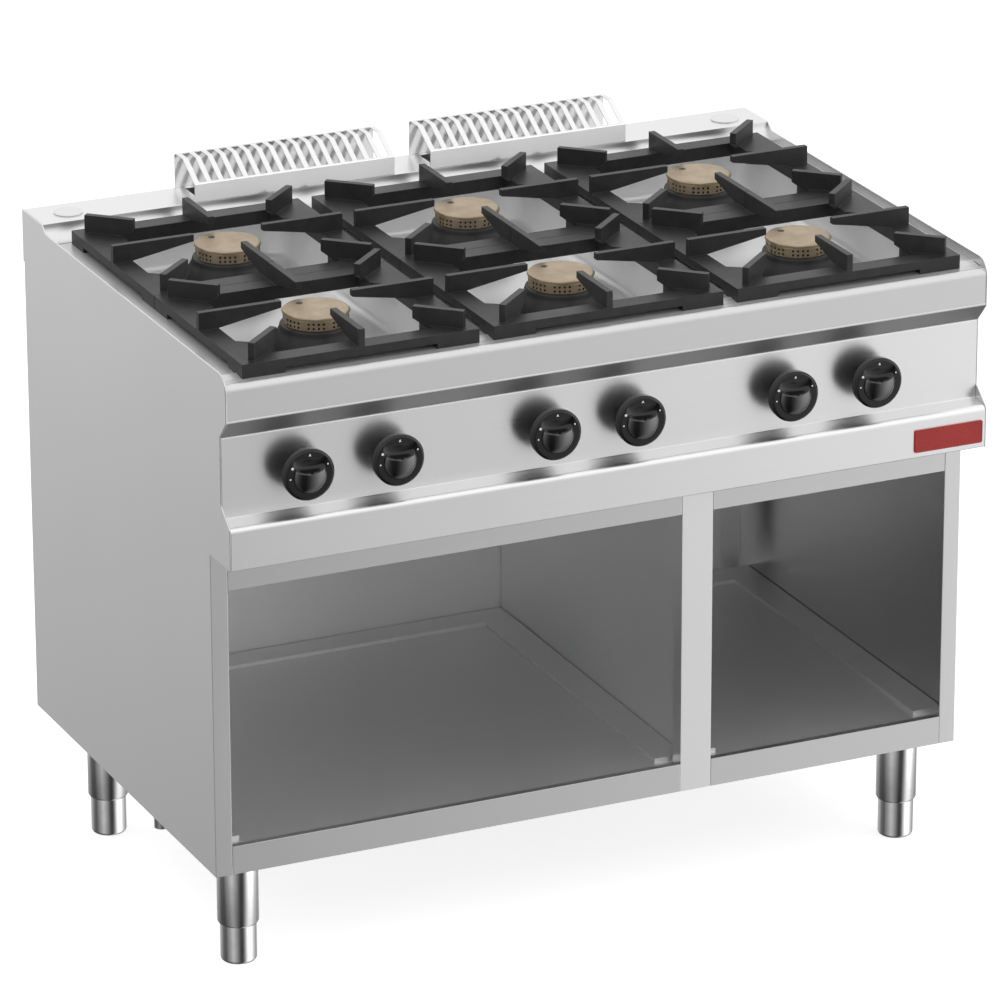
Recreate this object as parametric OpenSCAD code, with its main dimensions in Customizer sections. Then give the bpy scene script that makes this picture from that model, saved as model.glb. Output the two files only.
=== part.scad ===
// Free-standing commercial gas range: six open burners on an open two-bay cabinet.
// Millimetres, +Z up, origin on the floor under the middle of the range, front towards -Y.

/* [Overall size] */
// Width across the side panels
width = 1100; // [1096:2:1104]
// Depth from the face of the front lip to the back
depth = 722; // [718:2:726]
// How far the knobs stand out in front of the lip
knob_proud = 22; // [18:1:26]
// Height of the worktop surface
work_h = 857; // [850:1:864]
// Thickness of the steel sheet
sheet = 2; // [1.5:0.5:2]

/* [Cabinet] */
// Setback of the cabinet front behind the front lip
cabinet_setback = 62.3; // [58:0.1:66]
// Height of the underside of the cabinet
base_h = 152; // [148:1:156]
// Height of the cabinet's bottom rail
rail_h = 40; // [36:1:44]
// Left edge of the centre post
post_x = 129.6; // [110:0.1:150]
// Width of the centre post
post_w = 45.4; // [40:0.1:50]

/* [Legs] */
// Distance of the leg centres from the middle
leg_x = 494.3; // [486:0.1:496]
// Outer diameter of the leg sleeve
sleeve_d = 56; // [52:1:58]
// Height of the lower edge of the leg sleeve
sleeve_z = 55; // [50:1:60]

/* [Cooking zones] */
// Spacing of the burner columns
burner_pitch = 352; // [350:1:354]
// Setback of the front burners behind the lip
front_burner_y = 169; // [167:1:171]
// Spacing of the two burner rows
row_pitch = 300; // [300:1:302]
// Depth of the pressed wells in the worktop
well_depth = 57; // [54:1:58]
// Width of a pan support
grate_w = 332; // [326:1:334]
// Length of a pan support
grate_l = 299.4; // [296:0.1:299.6]
// Height of the pan support's fingers above the worktop
finger_h = 43; // [40:1:45]
// Outer diameter of the brass burner cap
cap_d = 90; // [88:1:92]

/* [Controls] */
// Height of the knob centres
knob_z = 725; // [722:1:728]
// Outer diameter of a knob
knob_d = 70; // [66:1:72]
// Push travel needed before a knob turns
push_travel = 4; // [3:0.5:4]

/* [Hidden] */
$fn = 64;

// Heights and setbacks, measured behind the face of the front lip
lip_y = (knob_proud - depth) / 2;
half_in = width / 2 - sheet;
clearance = 0.2;
rim_z = work_h + 13;
upstand_z = work_h + 23;
upstand_front = depth - 75;
upstand_foot = 23;
flue_top = work_h + 72;
lip_low = work_h - 51;
panel_y = 22;
panel_top = lip_low - 25;
ledge_z = 670;
fascia_y = -6.4;
fascia_low = 607;
opening_top = 553;
back_y = depth - 4;
rail_top = base_h + rail_h;
post_end = post_x + post_w;
partition_x = post_x + post_w / 2;
bay_back = depth - 32;
side_return = 24;
floor_z = base_h + 32;

// Places of the repeated parts
burner_x = [-burner_pitch, 0, burner_pitch];
burner_y = [front_burner_y, front_burner_y + row_pitch];
burners = [for (y = burner_y) for (x = burner_x) [x, y]];
knob_x = [-440, -314, -90, 33, 257, 382];
knob_burner = [3, 0, 4, 1, 5, 2];
legs = [[-leg_x, 124.5], [leg_x, 124.5], [-leg_x, 595], [leg_x, 595]];
grille_spans = [[-326, -28], [26, 326]];

// Burner and valve details
well_z = work_h - well_depth;
cap_seat_z = work_h + 7;
cap_top_z = work_h + 25;
cup_r = 30;
neck_r = 38;
tube_z = well_z - 20;
tube_r = 13;
neck_low = well_z - 36;
valve_y = 28;
valve_block_y = 46;
valve_back = 96;
rail_pipe_y = 71;
rail_pipe_z = 690;
pipe_r = 10.65;
inlet_x = -474;
inlet_y = 446;
inlet_z = 60;
spindle_r = 4;
feed_r = 4;

// ---- helpers -------------------------------------------------------------------------

function unit(v) = v / norm(v);
function left_normal(a, b) = let (d = unit(b - a)) [-d[1], d[0]];
function reversed(p) = [for (i = [len(p) - 1:-1:0]) p[i]];
function arc(c, r, from, to, steps = 6) =
    [for (i = [0:steps]) c + r * [cos(from + (to - from) * i / steps), sin(from + (to - from) * i / steps)]];

// The other face of a sheet that lies to the left of a path, with mitred bends
function other_face(p, t) = [for (i = [0:len(p) - 1])
    let (last = len(p) - 1)
    let (before = i > 0 ? left_normal(p[i - 1], p[i]) : left_normal(p[0], p[1]))
    let (after = i < last ? left_normal(p[i], p[i + 1]) : before)
    p[i] + t * (before + after) / (1 + before * after)];

// Everything is drawn with y measured back from the front lip
module from_lip() {
    translate([0, lip_y, 0]) children();
}

// A [y, z] outline drawn out along X between two ends
module yz_prism(points, x0, x1) {
    translate([x0, 0, 0]) rotate([90, 0, 90]) linear_extrude(x1 - x0) polygon(points);
}

// An [x, z] outline drawn out along Y between two ends
module xz_prism(points, y0, y1) {
    translate([0, y1, 0]) rotate([90, 0, 0]) linear_extrude(y1 - y0) polygon(points);
}

// A sheet folded along a [y, z] path, between two ends in X
module folded_sheet(path, x0, x1, t = sheet) {
    yz_prism(concat(path, reversed(other_face(path, t))), x0, x1);
}

module box(low, high) {
    translate(low) cube(high - low);
}

// A block with round upright corners, centred in plan
module rounded_block(w, l, z0, z1, r) {
    translate([-w / 2 + r, -l / 2, z0]) cube([w - 2 * r, l, z1 - z0]);
    translate([-w / 2, -l / 2 + r, z0]) cube([w, l - 2 * r, z1 - z0]);
    for (sx = [-1, 1])
        for (sy = [-1, 1])
            translate([sx * (w / 2 - r), sy * (l / 2 - r), z0]) cylinder(r = r, h = z1 - z0);
}

// A shape turned about Y, given as [radius, y] points
module turned_y(points) {
    rotate([-90, 0, 0]) rotate_extrude() polygon(points);
}

// A round bar that follows a list of points, with ball joints at its bends
module bent_bar(points, r) {
    for (i = [0:len(points) - 2]) {
        run = points[i + 1] - points[i];
        turn = [0, acos(run[2] / norm(run)), atan2(run[1], run[0])];
        translate(points[i]) rotate(turn) cylinder(r = r, h = norm(run), $fn = 24);
    }
    for (i = [1:len(points) - 2]) translate(points[i]) sphere(r = r, $fn = 24);
}

// ---- casing --------------------------------------------------------------------------

side_outline = concat(
    [[cabinet_setback, base_h], [back_y, base_h], [back_y, lip_low], [depth, lip_low],
     [depth, upstand_z], [upstand_front, upstand_z], [upstand_front - 12, rim_z]],
    arc([22, work_h - 9], 22, 90, 180),
    [[0, lip_low], [panel_y, panel_top], [panel_y, ledge_z + 18], [fascia_y, ledge_z - 6],
     [fascia_y, fascia_low], [cabinet_setback, fascia_low]]);

module side_panel(x) {
    color("gainsboro") from_lip() {
        inner = x < 0 ? 1 : -1;
        edge = [x, x + inner * sheet];
        yz_prism(side_outline, min(edge), max(edge));
        front = [x, x + inner * side_return];
        box([min(front), cabinet_setback, base_h], [max(front), cabinet_setback + sheet, fascia_low]);
        foot = [x, x + inner * 12];
        box([min(foot), cabinet_setback, base_h], [max(foot), back_y, base_h + sheet]);
    }
}

module side_panel_left() {
    side_panel(-width / 2);
}

module side_panel_right() {
    side_panel(width / 2);
}

worktop_path = concat(
    [[depth - 98, work_h]],
    arc([9, work_h - 9], 9, 90, 180),
    [[0, lip_low], [panel_y, panel_top], [48, panel_top]]);
well_w = 284;
well_l = 586;
well_r = 30;
well_mid = 326;
burner_hole_r = 40;

module worktop() {
    color("lightgray") from_lip() {
        difference() {
            folded_sheet(worktop_path, -half_in, half_in);
            for (x = burner_x)
                translate([x, well_mid, 0]) rounded_block(well_w, well_l, well_z, work_h + 1, well_r);
        }
        for (x = burner_x) well(x);
    }
}

module well(x) {
    difference() {
        translate([x, well_mid, 0])
            rounded_block(well_w + 2 * sheet, well_l + 2 * sheet, well_z - sheet, work_h, well_r + sheet);
        translate([x, well_mid, 0]) rounded_block(well_w, well_l, well_z, work_h + 1, well_r);
        for (y = burner_y)
            translate([x, y, well_z - 2 * sheet]) cylinder(r = burner_hole_r, h = 3 * sheet);
    }
}

panel_path = concat(
    [[46, panel_top - 0.4], [panel_y, panel_top - 0.4], [panel_y, ledge_z]],
    arc([1.6, ledge_z - 12.5], 8, 98, 180),
    [[fascia_y, fascia_low], [58, fascia_low]]);
panel_hole_r = 7;

module control_panel() {
    color("silver") from_lip() difference() {
        folded_sheet(panel_path, clearance - half_in, half_in - clearance);
        for (x = knob_x)
            translate([x, panel_y - 2, knob_z]) rotate([-90, 0, 0]) cylinder(r = panel_hole_r, h = 6);
    }
}

badge_x = [440.5, 543.5];
badge_z = [615, 647];

module badge_plate() {
    color("firebrick") from_lip()
        box([badge_x[0], fascia_y - sheet, badge_z[0]], [badge_x[1], fascia_y, badge_z[1]]);
}

upstand_path = concat(
    [[depth, lip_low], [depth, upstand_z]],
    arc([upstand_front - upstand_foot, upstand_z], upstand_foot, 0, -90));
flue_front = 663;
flue_back = 716;
plug_places = [[-498, 682], [498, 682]];

module rear_upstand() {
    color("lightgray") from_lip() difference() {
        folded_sheet(upstand_path, -half_in, half_in);
        for (span = grille_spans)
            box([span[0] + 12, flue_front + 4, upstand_z - 5], [span[1] - 12, flue_back - 4, upstand_z + 1]);
        for (p = plug_places)
            translate([p[0], p[1], upstand_z - 5]) cylinder(r = 12.3, h = 6);
    }
}

module upstand_plugs() {
    color("gainsboro") from_lip() for (p = plug_places) translate([p[0], p[1], 0]) {
        translate([0, 0, upstand_z - 9]) cylinder(r = 12, h = 9);
        translate([0, 0, upstand_z]) cylinder(r = 20, h = 1.5);
    }
}

// A hooded grille over a flue outlet: a plain front band, slots across the slope and top, a plain back
grille_front = upstand_front + 2;
grille_back = depth - 2;
grille_slope = 41;
grille_band = upstand_z + 25;
grille_path = [[grille_front, upstand_z], [grille_front, grille_band],
               [grille_front + grille_slope, flue_top], [grille_back - 3, flue_top],
               [grille_back, flue_top - 3], [grille_back, upstand_z]];
grille_slots = 16;
grille_slot_w = 10.5;
grille_bar_w = 7.5;
grille_end = 8;

module flue_grille(span) {
    pitch = (span[1] - span[0] - 2 * grille_end + grille_bar_w) / grille_slots;
    color("gainsboro") from_lip() difference() {
        folded_sheet(grille_path, span[0], span[1], 1.5);
        for (i = [0:grille_slots - 1])
            translate([span[0] + grille_end + i * pitch, grille_front - 1, grille_band + 2])
                cube([grille_slot_w, grille_back - grille_front - 5, 40]);
    }
}

module flue_grille_left() {
    flue_grille(grille_spans[0]);
}

module flue_grille_right() {
    flue_grille(grille_spans[1]);
}

// ---- cabinet -------------------------------------------------------------------------

vent_count = 9;
vent_w = 80;
vent_h = 6;
vent_pitch = 110;
vent_rows = [690, 715, 740];

module back_panel() {
    color("silver") from_lip() difference() {
        box([clearance - half_in, back_y - sheet, base_h + sheet + clearance],
            [half_in - clearance, back_y, lip_low]);
        for (i = [0:vent_count - 1])
            for (z = vent_rows)
                translate([(i - (vent_count - 1) / 2) * vent_pitch - vent_w / 2, back_y - 2 * sheet, z])
                    cube([vent_w, 3 * sheet, vent_h]);
    }
}

module cabinet_back() {
    color("darkgray") from_lip()
        box([1 - half_in, bay_back, floor_z + sheet], [half_in - 43, bay_back + sheet, opening_top + 7]);
}

// A C-shaped rail with its open side to the back
module cabinet_rail(x0, x1, low, high, flange) {
    front = cabinet_setback;
    folded_sheet([[front + flange, high], [front, high], [front, low], [front + 18, low]], x0, x1);
}

module cabinet_rails() {
    left = [side_return - width / 2 + clearance, post_x - clearance];
    right = [post_end + clearance, width / 2 - side_return - clearance];
    color("silver") from_lip() for (bay = [left, right]) {
        cabinet_rail(bay[0], bay[1], base_h, rail_top, 10);
        cabinet_rail(bay[0], bay[1], opening_top, fascia_low - 3, 30);
    }
}

module centre_post() {
    color("silver") from_lip() {
        box([post_x, cabinet_setback, base_h], [post_end, cabinet_setback + sheet, fascia_low - 3]);
        for (x = [post_x, post_end - sheet])
            box([x, cabinet_setback, floor_z + sheet + clearance],
                [x + sheet, cabinet_setback + 25, fascia_low - 3]);
    }
}

bay_spans = [[1 - half_in, partition_x - sheet], [partition_x + sheet, half_in - 1]];
bay_front = cabinet_setback + 32;
ledge_w = 44;

module cabinet_floors() {
    color("dimgray") from_lip() for (bay = bay_spans)
        box([bay[0], cabinet_setback + sheet, floor_z], [bay[1], bay_back - 1, floor_z + sheet]);
}

// A mitred frame of raised strips along the sides and back of each bay floor
module cabinet_ledges() {
    low = floor_z + sheet;
    color("gray") from_lip() for (bay = bay_spans) difference() {
        box([bay[0], bay_front, low], [bay[1], bay_back - 1, rail_top]);
        box([bay[0] + ledge_w, bay_front - 1, low - 1],
            [bay[1] - ledge_w, bay_back - 1 - ledge_w, rail_top + 1]);
    }
}

module cabinet_partition() {
    color("darkgray") from_lip()
        box([partition_x - sheet / 2, cabinet_setback + 27, base_h + sheet],
            [partition_x + sheet / 2, bay_back - 1, opening_top + 7]);
}

module cabinet_ceiling() {
    color("darkgray") from_lip()
        box([1 - half_in, cabinet_setback + 34, opening_top + 7],
            [half_in - 1, bay_back + sheet, opening_top + 9]);
}

runner_w = 80;
plate_h = 3;

module base_runners() {
    low = base_h + plate_h;
    half = runner_w / 2;
    color("gray") from_lip() for (x = [-leg_x, leg_x]) difference() {
        box([x - half, bay_front, low], [x + half, bay_back + 1, floor_z]);
        box([x - half + sheet, bay_front - 1, low - 1], [x + half - sheet, bay_back + 2, floor_z - sheet]);
    }
}

// ---- legs ----------------------------------------------------------------------------

module leg_sleeves() {
    bore_r = sleeve_d / 2 - 3;
    color("lightgray") from_lip() for (p = legs) translate([p[0], p[1], 0]) {
        translate([-42, -42, base_h]) cube([84, 84, plate_h]);
        rotate_extrude() polygon([
            [bore_r, sleeve_z], [sleeve_d / 2 - 1.6, sleeve_z], [sleeve_d / 2, sleeve_z + 3],
            [sleeve_d / 2, base_h], [bore_r, base_h]]);
    }
}

foot_r = sleeve_d / 2 - 3.5;
foot_top = base_h - 20;

module foot(p) {
    color("lightgray") from_lip() translate([p[0], p[1], 0])
        rotate_extrude() polygon(concat([[0, 0]], arc([foot_r - 5, 5], 5, -90, 0, 5),
            [[foot_r, foot_top], [0, foot_top]]));
}

// ---- gas train -----------------------------------------------------------------------

bore_r = 9;

module valve_bodies() {
    color("goldenrod") from_lip() for (x = knob_x) translate([x, 0, knob_z]) difference() {
        union() {
            turned_y([[0, valve_y], [13, valve_y], [13, valve_block_y + 1], [0, valve_block_y + 1]]);
            translate([-17, valve_block_y, -17]) cube([34, valve_back - valve_block_y, 34]);
            turned_y([[0, valve_back - 1], [7, valve_back - 1], [7, valve_back + 8], [0, valve_back + 8]]);
            translate([0, rail_pipe_y, rail_pipe_z + 13 - knob_z]) cylinder(r = 8, h = 10);
        }
        turned_y([[0, 20], [spindle_r + 0.3, 20], [spindle_r + 0.3, 60], [0, 60]]);
        turned_y([[0, valve_y + 2], [8.5, valve_y + 2], [8.5, valve_block_y], [0, valve_block_y]]);
        turned_y([[0, 50.2], [bore_r, 50.2], [bore_r, 88.2], [0, 88.2]]);
        turned_y([[0, 80], [2.5, 80], [2.5, valve_back + 4], [0, valve_back + 4]]);
    }
}

spring_turns = 4;

module valve_springs() {
    front = valve_y + 5;
    back = valve_block_y;
    color("silver") from_lip() for (x = knob_x) translate([x, 0, knob_z])
        for (i = [0:spring_turns])
            translate([0, front + 0.7 + (back - front - 1.4) * i / spring_turns, 0])
                rotate([90, 0, 0]) rotate_extrude() translate([6.6, 0]) circle(r = 0.6, $fn = 16);
}

module gas_manifold() {
    run_y = back_y - 14;
    run_z = floor_z - 16;
    color("dimgray") from_lip() {
        difference() {
            union() {
                bent_bar([[480, rail_pipe_y, rail_pipe_z], [inlet_x, rail_pipe_y, rail_pipe_z],
                          [inlet_x, run_y, rail_pipe_z], [inlet_x, run_y, run_z],
                          [inlet_x, inlet_y, run_z], [inlet_x, inlet_y, inlet_z + 25]], pipe_r);
                translate([inlet_x, inlet_y, inlet_z]) cylinder(r = 10.5, h = 26);
                translate([inlet_x, inlet_y, inlet_z + 25]) cylinder(r = 17, h = 14, $fn = 6);
                for (x = knob_x)
                    translate([x, rail_pipe_y, rail_pipe_z]) cylinder(r = 9, h = 13);
            }
            translate([inlet_x, inlet_y, inlet_z - 1]) cylinder(r = 7.5, h = 31);
        }
    }
}

// Mouths of the mixing tubes: the front burners' tubes are short, the back ones longer
mouth_y = [80, 300];
jet_gap = 6;
feed_z = [well_z - 48, well_z - 57];
feed_rise = [8, 20];

module supply_tubes() {
    start = valve_back + 8;
    color("peru") from_lip() for (i = [0:5]) {
        b = burners[knob_burner[i]];
        row = b[1] > burner_y[0] ? 1 : 0;
        jet_y = mouth_y[row] - jet_gap;
        run_z = feed_z[row];
        rise_y = start + feed_rise[row];
        turn_y = jet_y - 10;
        bent_bar([[knob_x[i], start, knob_z], [knob_x[i], rise_y, knob_z],
                  [knob_x[i], rise_y, run_z], [b[0], rise_y, run_z],
                  [b[0], turn_y, run_z], [b[0], turn_y, tube_z], [b[0], jet_y - 6, tube_z]], feed_r);
        translate([b[0], jet_y, tube_z]) rotate([90, 0, 0]) cylinder(r = 7, h = 8, $fn = 6);
    }
}

// A hollow flared casting that stands on the well floor, with a cup and a neck in its middle
module burner_body(p) {
    seat_r = cap_d / 2 - 2;
    skirt_r = seat_r + 20;
    difference() {
        translate([p[0], p[1], 0]) rotate_extrude() polygon([
            [cup_r, neck_low + 6], [cup_r, cap_seat_z], [seat_r, cap_seat_z], [seat_r + 4, cap_seat_z - 2],
            [seat_r + 6, cap_seat_z - 8], [seat_r + 10, cap_seat_z - 16], [seat_r + 15, cap_seat_z - 24],
            [seat_r + 19, cap_seat_z - 34], [skirt_r, cap_seat_z - 43], [skirt_r, well_z],
            [skirt_r - 5, well_z], [skirt_r - 5, cap_seat_z - 42], [seat_r + 6, cap_seat_z - 27],
            [seat_r, cap_seat_z - 16], [neck_r, cap_seat_z - 12], [neck_r, neck_low], [0, neck_low],
            [0, neck_low + 6]]);
        translate([p[0], p[1] - neck_r - 2, tube_z]) rotate([-90, 0, 0])
            cylinder(r = tube_r + 0.05, h = neck_r - 20);
    }
}

module burner_bodies() {
    color("dimgray") from_lip() for (p = burners) burner_body(p);
}

// A flared mixing tube from its open mouth to the neck of the burner
module mixing_tubes() {
    wall = 1.5;
    color("darkgray") from_lip() for (p = burners) {
        mouth = mouth_y[p[1] > burner_y[0] ? 1 : 0];
        neck = p[1] - 33;
        waist = mouth + 22;
        outer = [[tube_r + 3, mouth], [tube_r - 3, waist], [tube_r, waist + 10], [tube_r, neck]];
        inner = [for (q = outer) [q[0] - wall, q[1]]];
        translate([p[0], 0, tube_z]) turned_y(concat(outer, reversed(inner)));
    }
}

// A pilot burner with a small hood stands behind each main burner
pilot_offset = [31, 67];

module pilot_burners() {
    color("dimgray") from_lip() for (p = burners)
        translate([p[0] + pilot_offset[0], p[1] + pilot_offset[1], well_z]) {
            cylinder(r = 7, h = 4);
            cylinder(r = 4, h = 52);
            translate([-5, -7, 50]) cube([10, 14, 5]);
        }
}

// ---- lift-off castings ---------------------------------------------------------------

grate_frame_z = work_h + 19;
finger_z = work_h + finger_h;
side_bar = 28;
end_bar = 29;
finger_t = 9;
tip_h = 9;
relief_h = 7;
relief_half = 106;
relief_in = 18;

// The opening of a pan support, with thickened corners, between half sizes w and l
module grate_opening(w, l) {
    quarter = [[w, 0], [w, 60], [w - 26, 78], [w - 26, l], [0, l]];
    for (sx = [-1, 1])
        for (sy = [-1, 1])
            polygon(concat([[-sx, -sy]], [for (q = quarter) [sx * q[0], sy * q[1]]]));
}

// Relief under the frame, cut in from the outer faces
module grate_relief(w, l) {
    for (s = [-1, 1]) {
        translate([-relief_half, s * l - relief_in, work_h - 1])
            cube([2 * relief_half, 2 * relief_in, relief_h + 1]);
        translate([s * w - relief_in, -relief_half, work_h - 1])
            cube([2 * relief_in, 2 * relief_half, relief_h + 1]);
    }
}

// Side view of a finger that tapers from the frame bar to its tip
function finger_side(s, outer, bar, tip) = [
    [s * outer, grate_frame_z - 6], [s * outer, finger_z], [s * tip, finger_z],
    [s * tip, finger_z - tip_h], [s * (outer - bar), grate_frame_z], [s * (outer - bar), grate_frame_z - 6]];

// A pan support: frame with relieved skirt, four fingers and four corner fins
module grate(p) {
    w = grate_w / 2;
    l = grate_l / 2;
    fin_side = [[204, grate_frame_z - 6], [204, finger_z], [134, finger_z], [134, finger_z - 16],
                [158, grate_frame_z - 6]];
    color([0.16, 0.16, 0.17]) from_lip() translate([p[0], p[1], 0]) {
        difference() {
            translate([-w, -l, work_h]) cube([grate_w, grate_l, grate_frame_z - work_h]);
            translate([0, 0, work_h - 1]) linear_extrude(30) grate_opening(w - side_bar, l - end_bar);
            grate_relief(w, l);
        }
        for (s = [-1, 1]) {
            xz_prism(finger_side(s, w, side_bar, 50), -finger_t / 2, finger_t / 2);
            yz_prism(finger_side(s, l, end_bar, 57), -finger_t / 2, finger_t / 2);
        }
        for (a = [43, 137, 223, 317])
            rotate([0, 0, a]) xz_prism(fin_side, -finger_t / 2, finger_t / 2);
    }
}

// A cap with an overhanging top plate and a spigot that drops into the burner's cup
module burner_cap(p) {
    r = cap_d / 2;
    color("tan") from_lip() translate([p[0], p[1], 0]) rotate_extrude() polygon([
        [25, cap_seat_z - 8], [cup_r - 0.4, cap_seat_z - 8], [cup_r - 0.4, cap_seat_z],
        [r - 1.5, cap_seat_z], [r - 1.5, cap_top_z - 5], [r, cap_top_z - 4], [r, cap_top_z - 1.5],
        [r - 1.5, cap_top_z], [0, cap_top_z], [0, cap_top_z - 5], [25, cap_top_z - 9]]);
}

// ---- controls ------------------------------------------------------------------------

// A narrow stem behind a wide flange with a flat marked ring, and a domed grip in front
knob_back = panel_y - push_travel - 1;
stem_r = 21;
knob_front = -knob_proud;
ring_y = knob_front + 9;
flange_y = ring_y + 12;
dome_r = 23;
hub_end = knob_front + 20;
knob_side = concat(
    [[0, knob_back], [stem_r, knob_back], [stem_r, flange_y], [knob_d / 2 - 1, flange_y],
     [knob_d / 2, flange_y - 1], [knob_d / 2, ring_y + 1.5], [knob_d / 2 - 2.5, ring_y - 1],
     [knob_d / 2 - 4, ring_y - 1]],
    [for (i = [0:8]) [dome_r * cos(90 * i / 8), ring_y - (ring_y - knob_front) * sin(90 * i / 8)]]);

module knob(x) {
    color([0.05, 0.05, 0.05]) from_lip() translate([x, 0, knob_z]) difference() {
        turned_y(knob_side);
        turned_y([[0, hub_end], [spindle_r + 0.05, hub_end], [spindle_r + 0.05, knob_back + 1],
                  [0, knob_back + 1]]);
    }
}

module valve_spindle(x) {
    color("silver") from_lip() translate([x, 0, knob_z]) {
        turned_y([[0, hub_end + 0.5], [spindle_r, hub_end + 0.5], [spindle_r, 62], [0, 62]]);
        turned_y([[0, valve_y + 2.2], [7.5, valve_y + 2.2], [7.5, valve_y + 4.8], [0, valve_y + 4.8]]);
    }
}

module valve_plug(x) {
    color("gold") from_lip() translate([x, 0, knob_z]) difference() {
        turned_y([[0, 50.3], [bore_r - 0.05, 50.3], [bore_r - 0.05, 79], [0, 79]]);
        turned_y([[0, 49], [spindle_r + 0.05, 49], [spindle_r + 0.05, 70], [0, 70]]);
        translate([0, 75, -12]) cylinder(r = 2.5, h = 24, $fn = 24);
    }
}

// ---- output --------------------------------------------------------------------------

side_panel_left();
side_panel_right();
worktop();
control_panel();
badge_plate();
rear_upstand();
flue_grille_left();
flue_grille_right();
upstand_plugs();
back_panel();
cabinet_back();
cabinet_rails();
centre_post();
cabinet_floors();
cabinet_ledges();
cabinet_partition();
cabinet_ceiling();
base_runners();
leg_sleeves();
valve_bodies();
valve_springs();
gas_manifold();
supply_tubes();
burner_bodies();
mixing_tubes();
pilot_burners();
for (i = [1:4]) foot(legs[i - 1]);
for (i = [1:6]) grate(burners[i - 1]);
for (i = [1:6]) burner_cap(burners[i - 1]);
for (i = [1:6]) knob(knob_x[i - 1]);
for (i = [1:6]) valve_spindle(knob_x[i - 1]);
for (i = [1:6]) valve_plug(knob_x[i - 1]);
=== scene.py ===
"""Looks for the six-burner gas range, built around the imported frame. Metres, +Z up, front towards -Y."""

import bmesh
import bpy
from math import atan2, cos, hypot, pi, radians, sin, sqrt, tan
from mathutils import Matrix, Vector


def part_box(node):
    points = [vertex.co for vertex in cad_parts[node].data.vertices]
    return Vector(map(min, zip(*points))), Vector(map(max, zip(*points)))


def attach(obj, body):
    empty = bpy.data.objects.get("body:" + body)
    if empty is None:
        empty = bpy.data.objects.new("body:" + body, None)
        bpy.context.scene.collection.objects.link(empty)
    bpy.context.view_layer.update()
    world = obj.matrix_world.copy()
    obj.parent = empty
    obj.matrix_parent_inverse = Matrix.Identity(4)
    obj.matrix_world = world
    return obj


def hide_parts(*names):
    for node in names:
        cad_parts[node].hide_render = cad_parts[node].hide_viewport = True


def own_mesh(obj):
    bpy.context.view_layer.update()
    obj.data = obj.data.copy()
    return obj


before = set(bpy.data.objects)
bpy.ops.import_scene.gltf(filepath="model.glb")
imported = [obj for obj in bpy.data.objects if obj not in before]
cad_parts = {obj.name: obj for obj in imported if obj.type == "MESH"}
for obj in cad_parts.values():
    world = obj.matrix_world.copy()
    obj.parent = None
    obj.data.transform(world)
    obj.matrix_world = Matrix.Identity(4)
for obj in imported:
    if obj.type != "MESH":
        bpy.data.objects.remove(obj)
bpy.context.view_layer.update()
MM = 0.001


# ---- places read from the frame -------------------------------------------------------

def low(node):
    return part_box(node)[0]


def high(node):
    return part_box(node)[1]


LIP_Y = low("worktop").y
GRILLES = ("flue_grille_left", "flue_grille_right")
SIXES = range(1, 7)
FOURS = range(1, 5)
LIP_FRAME = Matrix.Translation((0, LIP_Y, 0)) @ Matrix.Scale(MM, 4)


def lip_mm(point):
    """A point in millimetres, with y measured back from the front lip."""
    return LIP_FRAME.inverted() @ point


def low_mm(node):
    return lip_mm(low(node))


def high_mm(node):
    return lip_mm(high(node))


def middle_mm(node):
    return (low_mm(node) + high_mm(node)) / 2


# ---- camera, floor and light ------------------------------------------------------------

AZIMUTH, ELEVATION, ROLL = radians(24.666), radians(20.725), radians(-0.1376)
DISTANCE = 8.9337
TARGET = Vector((-0.006, 0.0, 0.4973))
LENS = 235.61
SENSOR = 36
VIEW_DEPTH = 60


def make_camera():
    """The photograph's view, solved from points on it."""
    look = Vector((sin(AZIMUTH) * cos(ELEVATION), cos(AZIMUTH) * cos(ELEVATION), -sin(ELEVATION)))
    data = bpy.data.cameras.new("camera")
    data.lens = LENS
    data.sensor_width = SENSOR
    data.clip_end = VIEW_DEPTH
    camera = bpy.data.objects.new("camera", data)
    camera.rotation_mode = "QUATERNION"
    turn = look.to_track_quat("-Z", "Y")
    camera.rotation_quaternion = turn @ Matrix.Rotation(ROLL, 3, "Z").to_quaternion()
    camera.location = TARGET - look * DISTANCE
    bpy.context.scene.collection.objects.link(camera)
    bpy.context.scene.camera = camera


# the lamp on the grilles: its strength, how soft its shadows are, how much it shines in the steel, and
# where it stands, to the right of straight ahead and above level
KEY_STRENGTH = 1.9
KEY_SOFTNESS = radians(4)
KEY_SHINE = 0.3
KEY_SIDE, KEY_HEIGHT = radians(24), radians(22)


def make_grille_light():
    """A low key light on the flue grilles alone, which throws their bars' shadows on the wall behind."""
    data = bpy.data.lights.new("grille_key", "SUN")
    data.energy = KEY_STRENGTH
    data.angle = KEY_SOFTNESS
    data.specular_factor = KEY_SHINE
    light = bpy.data.objects.new("grille_key", data)
    towards = Vector((sin(KEY_SIDE) * cos(KEY_HEIGHT), -cos(KEY_SIDE) * cos(KEY_HEIGHT), sin(KEY_HEIGHT)))
    light.rotation_mode = "QUATERNION"
    light.rotation_quaternion = towards.to_track_quat("Z", "Y")
    bpy.context.scene.collection.objects.link(light)
    lit = bpy.data.collections.new("lit_by_key")
    for node in GRILLES:
        lit.objects.link(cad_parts[node])
    light.light_linking.receiver_collection = lit


# brightness of the studio round the horizon, in degrees to the right of the main view
STUDIO_RING = [(-180, 1.0), (-150, 1.05), (-131, 1.0), (-108, 0.4), (-85, 0.15), (-55, 0.5),
               (-32, 0.9), (-8, 0.5), (14, 0.1), (31, 0.05), (42, 0.35), (56, 1.3), (70, 2.4),
               (92, 2.3), (110, 1.1), (145, 0.4), (180, 1.0)]
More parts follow.
